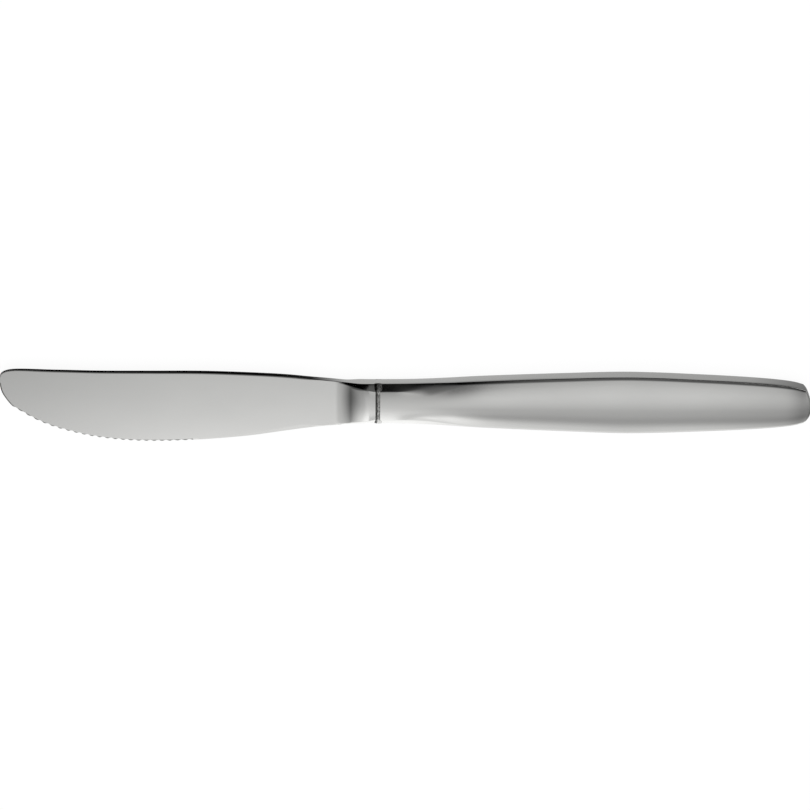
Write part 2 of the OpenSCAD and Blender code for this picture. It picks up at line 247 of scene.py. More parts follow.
class Piece:
    """A mesh in the making, drawn with bmesh operators in millimetres."""

    def __init__(self, name: str, station: Station) -> None:
        """Starts an empty mesh for a piece of this name."""
        self.name = name
        self.station = station
        self.mesh = bmesh.new()

    def chain(self, points: Sequence[Vector], closed: bool = False) -> Row:
        """Adds a row of joined points, from which a skin is extruded."""
        verts = [self.mesh.verts.new(point) for point in points]
        pairs = list(zip(verts, verts[1:])) + ([(verts[-1], verts[0])] if closed else [])
        for pair in pairs:
            self.mesh.edges.new(pair)
        return verts

    def extrude(self, row: Row, points: Sequence[Vector], closed: bool = False) -> Row:
        """Extrudes a row of joined vertices and moves the new row to its place.

        Args:
            row: The vertices to extrude, in order.
            points: A place for each new vertex.
            closed: Whether the last vertex is joined to the first.

        Returns:
            The new row, in the same order.
        """
        pairs = list(zip(row, row[1:])) + ([(row[-1], row[0])] if closed else [])
        edges = [self.mesh.edges.get(pair) for pair in pairs]
        made = bmesh.ops.extrude_edge_only(self.mesh, edges=edges)["geom"]
        fresh = {item for item in made if isinstance(item, bmesh.types.BMVert)}
        following = []
        for vert, point in zip(row, points):
            new = next(e.other_vert(vert) for e in vert.link_edges if e.other_vert(vert) in fresh)
            new.co = point
            following.append(new)
        return following

    def loft(self, rows: Sequence[Sequence[Vector]], closed: bool = False) -> list[Row]:
        """Draws a skin through rows of points and returns its rows of vertices."""
        made = [self.chain(rows[0], closed)]
        for points in rows[1:]:
            made.append(self.extrude(made[-1], points, closed))
        return made

    def bridge(self, first: Row, second: Row) -> None:
        """Joins two rows of as many vertices with faces."""
        edges = [self.mesh.edges.get(pair)
                 for row in (first, second) for pair in zip(row, row[1:])]
        bmesh.ops.bridge_loops(self.mesh, edges=edges)

    def weld(self, distance: float) -> None:
        """Merges vertices that lie on one another."""
        bmesh.ops.remove_doubles(self.mesh, verts=self.mesh.verts, dist=distance)

    def cap(self) -> list[bmesh.types.BMFace]:
        """Closes the open ends with flat faces, which it returns."""
        holes = [edge for edge in self.mesh.edges if len(edge.link_faces) == 1]
        return bmesh.ops.holes_fill(self.mesh, edges=holes, sides=0)["faces"]

    def crease(self, angle: float) -> None:
        """Shades the faces smooth, but for edges of more than an angle in degrees."""
        limit = math.radians(angle)
        for face in self.mesh.faces:
            face.smooth = True
        for edge in self.mesh.edges:
            edge.smooth = len(edge.link_faces) == 2 and edge.calc_face_angle() < limit

    def finish(self, finish: "Finish", slot: str, *nodes: str) -> bpy.types.Object:
        """Makes the object, lays it in its place and gives it its finish.

        Args:
            finish: What the surface looks like.
            slot: The record's material slot for it; not used.
            nodes: The frame's nodes that it stands for.

        Returns:
            The new object, which rides on the knife's body.
        """
        bmesh.ops.dissolve_degenerate(self.mesh, dist=10 * TINY, edges=self.mesh.edges)
        bmesh.ops.recalc_face_normals(self.mesh, faces=self.mesh.faces)
        shift = Vector((0, self.station.centre_y, self.station.middle_z))
        bmesh.ops.translate(self.mesh, vec=shift, verts=self.mesh.verts)
        bmesh.ops.scale(self.mesh, vec=Vector((MM, MM, MM)), verts=self.mesh.verts)
        data = bpy.data.meshes.new(self.name)
        self.mesh.to_mesh(data)
        self.mesh.free()
        item = bpy.data.objects.new(self.name, data)
        bpy.context.scene.collection.objects.link(item)
        data.materials.append(finish.material())
        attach(item, BODY)
        if nodes:
            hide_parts(*nodes)
        triangles = sum(len(polygon.vertices) - 2 for polygon in data.polygons)
        LOG.info("%s: %d triangles", self.name, triangles)
        return item


class Sketch:
    """A small drawing board for the nodes of a material or of the world."""

    def __init__(self, name: str, kind: str = "Material") -> None:
        """Starts a material, or a world, with nothing but its output."""
        library = bpy.data.worlds if kind == "World" else bpy.data.materials
        self.owner = library.new(name)
        self.owner.use_nodes = True
        self.tree = self.owner.node_tree
        self.tree.nodes.clear()
        self.output = self.tree.nodes.new("ShaderNodeOutput" + kind)

    def node(self, kind: str, inputs: dict | None = None, **settings) -> bpy.types.Node:
        """Adds a node, sets its properties, and sets or links its inputs."""
        made = self.tree.nodes.new("ShaderNode" + kind)
        for key, value in settings.items():
            setattr(made, key, value)
        for key, value in (inputs or {}).items():
            if isinstance(value, Socket):
                self.tree.links.new(value, made.inputs[key])
            else:
                made.inputs[key].default_value = value
        return made

    def math(self, operation: str, first, second=0.0, third=0.0) -> Socket:
        """Adds a step of arithmetic and returns its result."""
        return self.node("Math", {0: first, 1: second, 2: third}, operation=operation).outputs[0]

    def position(self) -> Socket:
        """Place on the object, in metres."""
        return self.node("TexCoord").outputs["Object"]

    def grain(self, position: Socket, scale: tuple, detail: float = 3.0,
              roughness: float = 0.6) -> Socket:
        """Noise stretched along an axis, from 0 to 1."""
        mapping = self.node("Mapping", {"Vector": position, "Scale": scale})
        return self.node("TexNoise", {"Vector": mapping.outputs[0], "Scale": 1.0, "Detail": detail,
                                      "Roughness": roughness}).outputs[0]

    def ranged(self, value: Socket, source: Share, target: Share = (0.0, 1.0),
               smooth: bool = False) -> Socket:
        """Maps a value from one range to another, kept inside it."""
        return self.node("MapRange", {"Value": value, "From Min": source[0], "From Max": source[1],
                                      "To Min": target[0], "To Max": target[1]},
                         interpolation_type="SMOOTHSTEP" if smooth else "LINEAR").outputs[0]

    def ramp(self, value: Socket, levels: Table) -> Socket:
        """Reads a table of levels at a value that runs over the table's places."""
        first, last = levels[0][0], levels[-1][0]
        top = max(level for _, level in levels)
        node = self.node("ValToRGB", {"Fac": self.ranged(value, (first, last))})
        stops = node.color_ramp.elements
        for index, (place, level) in enumerate(levels):
            spot = (place - first) / (last - first)
            stop = stops[index] if index < 2 else stops.new(spot)
            stop.position, stop.color = spot, (level / top,) * 3 + (1.0,)
        grey = self.node("SeparateColor", {"Color": node.outputs[0]}).outputs[0]
        return self.math("MULTIPLY", grey, top)

    def toward(self, start: Socket | float, end: Socket | float, share: Socket) -> Socket:
        """Value at a share of the way from start to end."""
        step = self.math("SUBTRACT", end, start)
        return self.math("ADD", start, self.math("MULTIPLY", step, share))

    def blend(self, share: Socket, first: tuple, second: tuple) -> Socket:
        """Colour at a share of the way from one colour to another."""
        made = self.node("Mix", {"Factor": share}, data_type="RGBA")
        made.inputs["A"].default_value = first
        made.inputs["B"].default_value = second
        return made.outputs[2]

    def rays(self) -> tuple[Socket, Socket]:
        """Whether the camera sees the place itself, and whether it does in or through a piece."""
        path = self.node("LightPath").outputs
        through = self.math("MAXIMUM", path["Is Glossy Ray"], path["Is Transmission Ray"])
        return path["Is Camera Ray"], through

    def shade(self, shader: bpy.types.Node) -> bpy.types.ID:
        """Ends the drawing with a shader."""
        self.tree.links.new(shader.outputs[0], self.output.inputs["Surface"])
        return self.owner

    def glow(self, level: Socket | float) -> bpy.types.Material:
        """Ends the drawing with white light of a level."""
        return self.shade(self.node("Emission", {"Color": WHITE, "Strength": level}))

    def surface(self, colour: Socket, rough: Socket | float, bump: bpy.types.Node,
                metallic: float = 1.0) -> bpy.types.Material:
        """Ends the drawing with a metal, or with a dull surface where metallic is 0."""
        return self.shade(self.node("BsdfPrincipled", {
            "Base Color": colour, "Metallic": metallic, "Roughness": rough,
            "Normal": bump.outputs[0]}))


class Brushing(Enum):
    """Direction of the grinding marks, as the scale of the grain along X, Y and Z."""

    LENGTHWISE = (260.0, 9000.0, 9000.0)
    CROSSWISE = (9000.0, 260.0, 9000.0)
    EVEN = (3500.0, 3500.0, 3500.0)


@dataclass(frozen=True)
class Finish:
    """Look of a surface; each kind makes its own material."""

    name: str

    def material(self) -> bpy.types.Material:
        """Draws the material."""
        raise NotImplementedError


@dataclass(frozen=True)
class SatinSteel(Finish):
    """Stainless steel with fine grinding marks and faint cloudiness."""

    brushing: Brushing = Brushing.LENGTHWISE
    tint: tuple = (0.80, 0.80, 0.785)
    roughness: float = 0.22
    roughness_spread: float = 0.05
    mark_height: float = 1.2e-6
    cloud: float = 0.04
    marks_share: float = 0.45
    middle_wear: Share = (0.3, 0.7)
    cloud_scale: tuple = (55.0, 110.0, 110.0)
    camber_radius: float = 0.0
    camber_centre: float = 0.0

    def material(self) -> bpy.types.Material:
        """Draws marks in the colour, the roughness and the bump of a bare metal."""
        sketch = Sketch(self.name)
        place = sketch.position()
        marks = sketch.grain(place, self.brushing.value)
        clouds = sketch.grain(place, self.cloud_scale, detail=2.0)
        wear = sketch.math("ADD", sketch.math("MULTIPLY", marks, self.marks_share),
                           sketch.math("MULTIPLY", clouds, 1 - self.marks_share))
        rough = sketch.ranged(wear, self.middle_wear, (self.roughness - self.roughness_spread,
                                                       self.roughness + self.roughness_spread))
        value = sketch.ranged(wear, self.middle_wear, (1.0, 1.0 - self.cloud))
        colour = sketch.node("VectorMath", {0: self.tint, "Scale": value}, operation="SCALE")
        height = sketch.math("MULTIPLY", marks, self.mark_height)
        if self.camber_radius:
            split = sketch.node("SeparateXYZ", {"Vector": place})
            offset = sketch.math("SUBTRACT", split.outputs[1], self.camber_centre)
            sagitta = sketch.math("MULTIPLY", sketch.math("MULTIPLY", offset, offset),
                                  -1 / (2 * self.camber_radius))
            height = sketch.math("ADD", height, sagitta)
        bump = sketch.node("Bump", {"Strength": 1.0, "Distance": 1.0, "Height": height})
        return sketch.surface(colour.outputs[0], rough, bump)


@dataclass(frozen=True)
class RoughSolder(Finish):
    """Dull grey solder with bright and dark specks, ground flush near the middle plane, and
    painted shade in the crevice beside the bolster.
    """

    middle: float = 0.0
    start: float = 0.0
    # Width of the painted shade in the crevice beside the bolster.
    crevice: float = 0.0004
    flush: Share = (0.0012, 0.0018)
    speck_scale: tuple = (2600.0, 1500.0, 1500.0)
    bright_specks: Share = (0.32, 0.52)
    flush_roughness: float = 0.25
    raw_roughness: float = 0.2
    pit_depth: float = 6e-5
    dark: tuple = (0.06, 0.06, 0.055, 1.0)
    bright: tuple = (0.85, 0.85, 0.83, 1.0)

    def material(self) -> bpy.types.Material:
        """Draws specks and the painted crevice shade in the colour, and pits in the bump."""
        sketch = Sketch(self.name)
        place = sketch.position()
        specks = sketch.grain(place, self.speck_scale, detail=4.0, roughness=0.7)
        split = sketch.node("SeparateXYZ", {"Vector": place})
        away = sketch.math("ABSOLUTE", sketch.math("SUBTRACT", split.outputs[2], self.middle))
        raw = sketch.ranged(away, self.flush)
        past = sketch.math("SUBTRACT", split.outputs[0], self.start)
        # Painted shade: next to the bolster the solder takes its dark colour, standing in for the
        # crevice's shadow.
        lit = sketch.ranged(past, (self.crevice / 2, self.crevice * 1.5), smooth=True)
        share = sketch.math("MULTIPLY", sketch.ranged(specks, self.bright_specks), lit)
        share = sketch.math("MAXIMUM", share, sketch.math("SUBTRACT", 1.0, raw))
        rough = sketch.math("MULTIPLY", raw, self.raw_roughness)
        rough = sketch.math("ADD", rough, self.flush_roughness)
        bump = sketch.node("Bump", {"Strength": raw, "Distance": self.pit_depth, "Height": specks})
        return sketch.surface(sketch.blend(share, self.dark, self.bright), rough, bump)


@dataclass(frozen=True)
class DullCement(Finish):
    """Pale filled cement, grainy and dry."""

    pale: tuple = (0.72, 0.66, 0.54, 1.0)
    dark: tuple = (0.52, 0.46, 0.36, 1.0)
    grain_scale: tuple = (1800.0, 1800.0, 1800.0)
    dark_grains: Share = (0.35, 0.65)
    grain_height: float = 1e-4
    grain_strength: float = 0.6
    roughness: float = 0.85

    def material(self) -> bpy.types.Material:
        """Draws sandy grains in the colour and the bump."""
        sketch = Sketch(self.name)
        grains = sketch.grain(sketch.position(), self.grain_scale, detail=5.0)
        colour = sketch.blend(sketch.ranged(grains, self.dark_grains), self.pale, self.dark)
        bump = sketch.node("Bump", {"Strength": self.grain_strength,
                                    "Distance": self.grain_height, "Height": grains})
        return sketch.surface(colour, self.roughness, bump, metallic=0.0)


@dataclass(frozen=True)
class Neck:
    """Section of the neck, in which the bolster and the handle meet. Sizes are in millimetres."""

    height: float = 10.86
    thickness: float = 8.05
    flat: float = 3.6
    shoulder_width: float = 2.3
    shoulder_angle: float = 48.0

    @property
    def slope(self) -> float:
        """Slope of the facets beside the flats, in radians."""
        return math.radians(self.shoulder_angle)

    @property
    def shoulder_z(self) -> float:
        """Height at which the facets meet the crowned face."""
        return self.flat / 2 + self.shoulder_width * math.sin(self.slope)


@dataclass
class ForgedBlade:
    """The forging: the ground blade with its teeth, the bolster and the tang.

    Sizes are in millimetres. Tables of shares place the stations of the outline.
    """

    station: Station
    neck: Neck
    spine_height: float = 8.25
    belly_depth: float = 11.6
    spine_thickness: float = 2.1
    tip_thickness: float = 1.0
    edge_thickness: float = 0.6
    edge_angle: float = 27.0
    edge_land: float = 0.1
    edge_length: float = 82.0
    spine_rounding: float = 0.5
    nose_rounding: float = 0.3
    neck_rounding: float = 0.14
    bolster_length: float = 11.4
    flare_length: float = 9.2
    flare_turn: float = 0.47
    serration_start: float = 4.0
    serration_length: float = 47.0
    tooth_pitch: float = 2.04
    tooth_depth: float = 0.63
    tooth_tilt: float = 30.0
    first_edge_angle: float = 42.0
    edge_run: float = 24.0
    edge_rounding: float = 0.28
    edge_inset: float = 0.38
    tooth_overlap: float = -0.1
    tip_wear: float = 0.1
    tang_length: float = 40.0
    tang_height: float = 5.6
    tang_end_height: float = 4.2
    tang_thickness: float = 2.6
    notch_depth: float = 0.7
    notch_width: float = 3.0
    tang_bevel: float = 0.15
    tang_crease: float = 30.0
    join_distance: float = 3.0
    rim_points: int = 14
    face_points: int = 16
    face_inset: float = 0.12
    blend_run: float = 5.0
    spine_nose_run: float = 12.0
    edge_nose_run: float = 3.0
    neck_run: float = 6.0
    edge_fade: float = 4.0
    spine_rim_share: float = 0.9
    edge_rim_share: float = 0.92
    rim_steps: int = 3
    nose_length: float = 6.0
    spine_nose_step: float = 0.12
    spine_step: float = 0.8
    edge_nose_step: float = 0.15
    tooth_steps: int = 16
    plate_step: float = 0.5
    flare_step: float = 0.16
    neck_step: float = 0.3
    weld_reach: float = 0.002
    join_reach: float = 0.01
    crease_angle: float = 24.0
    nose_shares: Table = (
        (0.03, 0.005), (0.0095, 0.043), (0.0024, 0.095), (0, 0.18), (0.0043, 0.295),
        (0.0118, 0.378))
    belly_shares: Table = (
        (0.0315, 0.513), (0.053, 0.585), (0.095, 0.711), (0.135, 0.798), (0.178, 0.865),
        (0.241, 0.939), (0.326, 0.99), (0.4, 1))
    heel_shares: Table = (
        (0.475, 0.965), (0.58, 0.84), (0.664, 0.7), (0.749, 0.49), (0.834, 0.285), (0.918, 0.115),
        (0.96, 0.02))
    spine_shares: Table = (
        (0.96, 0), (0.918, 0.045), (0.876, 0.185), (0.834, 0.32), (0.79, 0.5), (0.749, 0.62),
        (0.664, 0.77), (0.537, 0.9), (0.4, 0.89), (0.264, 0.885), (0.156, 0.955))
    notch_shares: Sequence[float] = (0.45, 0.72)
    shoulder_full: float = 1.17
    shoulder_growth: float = 1.6
    strip_open: Share = (0.3, 0.8)
    shoulder_least: float = 0.24
    soft_open: Share = (0.38, 0.55)
    soft_close: Share = (0.62, 0.95)
    soft_reach: float = 0.5
    longest_soft: float = 0.4

    def __post_init__(self) -> None:
        """Works out the outline, the flats and the scallops."""
        neck, tip = self.neck.height / 2, self.station.tip
        length = self.station.joint - tip
        top, bottom = self.spine_height, -self.belly_depth

        def placed(shares: Table, high: float, low: float) -> Section:
            return [(tip + length * along, mix(high, low, down)) for along, down in shares]

        spine = ([(self.station.joint, neck)] + placed(self.spine_shares, neck, top)
                 + placed(self.nose_shares[:4], top, bottom))
        edge = (placed(self.nose_shares[3:], top, bottom) + placed(self.belly_shares, top, bottom)
                + placed(self.heel_shares, -neck, bottom) + [(self.station.joint, -neck)])
        self.spine_curve, self.edge_curve = SmoothCurve(spine), SmoothCurve(edge)
        self.foot_x = self.station.joint - self.bolster_length
        self.join_x = self.foot_x - self.join_distance
        self.slope_x = (self.spine_thickness - self.tip_thickness) / 2 / (self.foot_x - tip)
        deepest = tip + length * self.belly_shares[-1][0]
        drop = (self.spine_thickness - self.edge_thickness) / 2
        drop -= self.slope_x * (self.foot_x - deepest)
        self.slope_y = drop / (neck + self.belly_depth)
        count = math.floor(self.serration_length / self.tooth_pitch)
        places = [tip + self.serration_start + self.tooth_pitch * k for k in range(count)]
        self.scallops = [self.edge_curve.distance_at(x) for x in places]
        self.teeth_end = places[-1] + self.tooth_pitch / 2

    def flat(self, x: float, y: float) -> float:
        """Half thickness of the blade's flats."""
        return (self.spine_thickness / 2 - self.slope_x * (self.foot_x - x)
                - self.slope_y * (self.neck.height / 2 - y))

    def cut(self, distance: float) -> tuple[float, float]:
        """Depth and slope of the scallop at a distance along the edge, or a negative depth."""
        near = min(range(len(self.scallops)), key=lambda k: abs(self.scallops[k] - distance))
        beside = near + 1 if near + 1 < len(self.scallops) else near - 1
        pitch = abs(self.scallops[beside] - self.scallops[near])
        tilt = math.radians(self.tooth_tilt)
        width, sunk = pitch * (1 + self.tooth_overlap), self.tooth_depth * math.cos(tilt)
        radius = (width * width / 4 + sunk * sunk) / (2 * sunk)
        off = self.scallops[near] - distance
        if abs(off) >= radius:
            return -1.0, math.tan(tilt)
        rise = radius - math.sqrt(radius * radius - off * off)
        return self.tooth_depth - rise / math.cos(tilt), math.tan(tilt)

    def rounded_rim(self, half: float, radius: float) -> Section:
        """Rim from the flat to its middle, as insets and heights, with a round corner."""
        points = []
        for index in range(self.rim_points):
            angle = math.pi / 2 * index / (self.rim_points - 1)
            points.append((radius * (1 - math.sin(angle)), half - radius * (1 - math.cos(angle))))
        return points

    def toothed_rim(self, point: Vector, inward: Vector, distance: float, radius: float,
                    side: int) -> Section:
        """Blunt rim with the scallop's slanting cut through it, which runs deeper on the back."""
        depth, fall = self.cut(distance)
        half = self.flat(point.x, point.y)
        for _ in range(self.rim_steps):
            inner = point + inward * max(self.edge_inset, depth - fall * side * half)
            half = self.flat(inner.x, inner.y)
        rim = self.rounded_rim(half, min(radius, half * self.edge_rim_share))
        wide = self.edge_inset / self.edge_rounding if side > 0 else 1.0
        return [(max(inset * wide + self.tip_wear, depth - fall * side * height), height)
                for inset, height in rim]

    def ground_rim(self, point: Vector, inward: Vector) -> Section:
        """Rim of the plain edge, from the flat over the bevel to the cutting edge."""
        share = ease((point.x - self.teeth_end) / self.edge_run)
        slant = math.tan(math.radians(mix(self.first_edge_angle, self.edge_angle, share)))
        land, half = self.edge_land / 2, self.flat(point.x, point.y)
        for _ in range(self.rim_steps):
            inner = point + inward * (half - land) / slant
            half = self.flat(inner.x, inner.y)
        heights = [mix(half, land, k / (self.rim_points - 1)) for k in range(self.rim_points)]
        return [((height - land) / slant, height) for height in heights]

    def spine_row(self, distance: float) -> list[Vector]:
        """Points round the rim at a distance along the spine, from the front to the back."""
        point = self.spine_curve.at(distance)
        radius = mix(self.nose_rounding, self.spine_rounding,
                     ease((point.x - self.station.tip) / self.spine_nose_run))
        radius = mix(radius, self.neck_rounding,
                     ease((point.x - self.join_x + self.neck_run) / self.neck_run))
        half = self.flat(point.x, point.y)
        rim = self.rounded_rim(half, min(radius, half * self.spine_rim_share))
        return self.rim_row(point, self.squared(self.spine_curve, point, distance, -1), rim, rim)

    def squared(self, curve: SmoothCurve, point: Vector, distance: float, way: int) -> Vector:
        """Inward direction at a point of the outline, upright at the bolster."""
        turn = ease((self.join_x - point.x) / self.join_distance)
        return (curve.inward(distance) * turn + Vector((0, way)) * (1 - turn)).normalized()

    def edge_row(self, distance: float) -> list[Vector]:
        """Points round the rim at a distance along the edge, from the front to the back."""
        point = self.edge_curve.at(distance)
        inward = self.squared(self.edge_curve, point, distance, 1)
        along = point.x - self.station.tip
        radius = mix(self.nose_rounding, self.edge_rounding, ease(along / self.edge_nose_run))
        radius = mix(radius, self.neck_rounding, ease((point.x - self.teeth_end) / self.edge_run))
        out = ease((along - self.edge_length + self.edge_fade) / (2 * self.join_distance))
        ground = ease((point.x - self.teeth_end) / self.edge_nose_run) * (1 - out)
        plain = self.ground_rim(point, inward)
        rims = (self.toothed_rim(point, inward, distance, radius, side) for side in (1, -1))
        return self.rim_row(point, inward, *(mix_section(rim, plain, ground) for rim in rims))

    @staticmethod
    def rim_row(point: Vector, inward: Vector, front: Section, back: Section) -> list[Vector]:
        """Sets a rim's insets and heights about a point of the outline."""
        middle = ((front[-1][0] + back[-1][0]) / 2, 0.0)
        turned = [(inset, -height) for inset, height in reversed(back)]
        return [Vector((*(point + inward * inset), height))
                for inset, height in front + [middle] + turned]

    def edge_places(self) -> list[float]:
        """Distances along the edge, from the nose to the joint with the bolster."""
        first = (self.scallops[0] * 3 - self.scallops[1]) / 2
        last = (self.scallops[-1] * 3 - self.scallops[-2]) / 2
        cusps = [(a + b) / 2 for a, b in zip(self.scallops, self.scallops[1:])]
        places = spaced(0.0, first, self.edge_nose_step)
        for start, end in zip([first] + cusps, cusps + [last]):
            places += [mix(start, end, k / self.tooth_steps) for k in range(self.tooth_steps)]
        end = self.edge_curve.distance_at(self.join_x)
        return places + spaced(last, end, self.plate_step) + [end]

    def spine_places(self) -> list[float]:
        """Distances along the spine, from the joint with the bolster to the nose."""
        start = self.spine_curve.distance_at(self.join_x)
        nose = self.spine_curve.distance_at(self.station.tip + self.nose_length)
        return (spaced(start, nose, self.spine_step)
                + spaced(nose, self.spine_curve.length, self.spine_nose_step))

    def flare_share(self, x: float) -> float:
        """Share of the flare's rise, hollow first and then crowned."""
        share = clamp((x - self.foot_x) / self.flare_length)
        if share < self.flare_turn:
            return share * share / self.flare_turn
        return 1 - (1 - share) ** 2 / (1 - self.flare_turn)

    def opened(self, x: float, shares: Share) -> float:
        """How far something has opened between two shares of the flare's length."""
        return between((x - self.foot_x) / self.flare_length, shares)

    def bolster_front(self, x: float) -> tuple[Section, Section, Section]:
        """Front half of the bolster's section at a place along the knife.

        Args:
            x: The place, past the joint with the plate.

        Returns:
            The upper rim from the face to the middle plane, the face from top to bottom,
            and the lower rim from the face to the middle plane, as points in Y and Z.
        """
        share, strip = self.flare_share(x), self.opened(x, self.strip_open)
        grown = clamp((x - self.foot_x) / self.flare_length / self.shoulder_full)
        run = mix(self.shoulder_least, self.neck.shoulder_width * math.cos(self.neck.slope),
                  grown ** self.shoulder_growth)
        top, bottom = self.spine_curve.height(x), self.edge_curve.height(x)
        flat = self.neck.flat / 2
        level = mix(self.flat(x, 0), self.neck.shoulder_z, share)
        lean = self.slope_y * (1 - share)
        crown = (self.neck.thickness / 2 - self.neck.shoulder_z) * share
        softness = self.opened(x, self.soft_open) * (1 - self.opened(x, self.soft_close))
        soft = mix(self.neck_rounding, self.soft_reach, softness)
        high, low = top - run, bottom + run

        def face(y: float) -> tuple[float, float]:
            across = 2 * (y - low) / (high - low) - 1
            return y, level + lean * y + crown * (1 - across * across)

        def rim(corner_y: float, crease_y: float, row: list[Vector]) -> Section:
            corner = (corner_y, mix(self.flat(x, corner_y), flat, strip))
            crease = (crease_y, level + lean * crease_y)
            share = min(self.longest_soft, soft / (high - low))
            inner = face(mix(crease_y, high + low - crease_y, share))
            slope = lean - 4 * crown * (1 - 2 * share) / (crease_y * 2 - high - low)
            steps = self.rim_points // 2
            made = (eased_crease(corner, crease, inner, slope, 2 * soft, steps)[::-1]
                    + softened(crease, corner, (corner_y, 0.0), self.neck_rounding, steps))
            plate = [(point.y, point.z) for point in row[:self.rim_points]]
            return mix_section(plate, made, ease((x - self.join_x) / self.blend_run))

        upper = rim(top, high, self.spine_row(self.spine_curve.distance_at(x)))
        lower = rim(bottom, low, self.edge_row(self.edge_curve.distance_at(x)))
        start, end = upper[0][0] - self.face_inset, lower[0][0] + self.face_inset
        inside = [mix(start, end, k / (self.face_points - 1)) for k in range(self.face_points)]
        return upper, [face(y) for y in inside], lower

    def bolster_ring(self, x: float) -> list[Vector]:
        """Closed section of the bolster, from the upper front crease over the top and round."""
        upper, inside, lower = self.bolster_front(x)
        return (stood(x, upper + [(upper[-1][0], 0)])
                + stood(x, upper[::-1] + inside + lower + [(lower[-1][0], 0)], -1)
                + stood(x, lower[::-1] + inside[::-1]))

    def build(self, finish: Finish, painted_dark_edge_finish: Finish) -> bpy.types.Object:
        """Draws the plate and the bolster as one skin.

        Args:
            finish: The steel of the flats and the bolster.
            painted_dark_edge_finish: The coarser ground steel of the teeth, whose dark colour is a
                painted dark reflection.

        Returns:
            The new object.
        """
        piece = Piece("forged_blade", self.station)
        ring = piece.chain(self.bolster_ring(self.join_x), closed=True)
        rim = 2 * self.rim_points + 1
        row = ring[:rim]
        for distance in self.spine_places()[1:]:
            row = piece.extrude(row, self.spine_row(distance))
        toothed: set[bmesh.types.BMVert] = set()
        for distance in self.edge_places():
            row = piece.extrude(row, self.edge_row(distance))
            if row[0].co.x < self.teeth_end:
                toothed.update(row)
        # The toothed faces take the second material, whose dark colour is painted dark reflection
        # on the tooth rims.
        for edge_face in [face for face in piece.mesh.faces if toothed.issuperset(face.verts)]:
            edge_face.material_index = 1
        flare_end, end = self.foot_x + self.flare_length, self.station.bolster_end
        places = (spaced(self.join_x, self.foot_x, self.plate_step)
                  + spaced(self.foot_x, flare_end, self.flare_step)
                  + spaced(flare_end, end, self.neck_step) + [end])
        for x in places[1:]:
            ring = piece.extrude(ring, self.bolster_ring(x), closed=True)
        piece.weld(self.weld_reach)
        flats = piece.cap()
        piece.crease(self.crease_angle)
        for edge in piece.mesh.edges:
            if min(vert.co.x for vert in edge.verts) > self.join_x:
                edge.smooth = True
        for edge in {edge for face in flats for edge in face.edges}:
            edge.smooth = all(abs(vert.co.x - self.join_x) < self.join_reach
                              for vert in edge.verts)
        made = piece.finish(finish, "blade_steel", "blade")
        made.data.materials.append(painted_dark_edge_finish.material())
        return made

    def build_tang(self, finish: Finish) -> bpy.types.Object:
        """Draws the notched tang inside the handle."""
        piece = Piece("tang", self.station)
        start, end = self.station.bolster_end, self.station.bolster_end + self.tang_length
        root, tail = self.tang_height / 2, self.tang_end_height / 2
        side = [(start, root)]
        for share in self.notch_shares:
            x, y, half = mix(start, end, share), mix(root, tail, share), self.notch_width / 2
            side += [(x - half, y), (x - half / 2, y - self.notch_depth),
                     (x + half / 2, y - self.notch_depth), (x + half, y)]
        side += [(end - self.tang_thickness, tail), (end, tail - self.tang_thickness / 2)]
        outline = side + [(x, -y) for x, y in reversed(side)]
        lower = [Vector((x, y, -self.tang_thickness / 2)) for x, y in outline]
        piece.chain(lower, closed=True)
        base = bmesh.ops.contextual_create(piece.mesh, geom=piece.mesh.edges[:])["faces"]
        lifted = bmesh.ops.extrude_face_region(piece.mesh, geom=base, use_keep_orig=True)["geom"]
        verts = [item for item in lifted if isinstance(item, bmesh.types.BMVert)]
        bmesh.ops.translate(piece.mesh, verts=verts, vec=Vector((0, 0, self.tang_thickness)))
        bmesh.ops.bevel(piece.mesh, geom=piece.mesh.edges[:], offset=self.tang_bevel, segments=2,
                        profile=0.5, affect="EDGES", material=-1, clamp_overlap=True)
        piece.crease(self.tang_crease)
        return piece.finish(finish, "blade_steel")


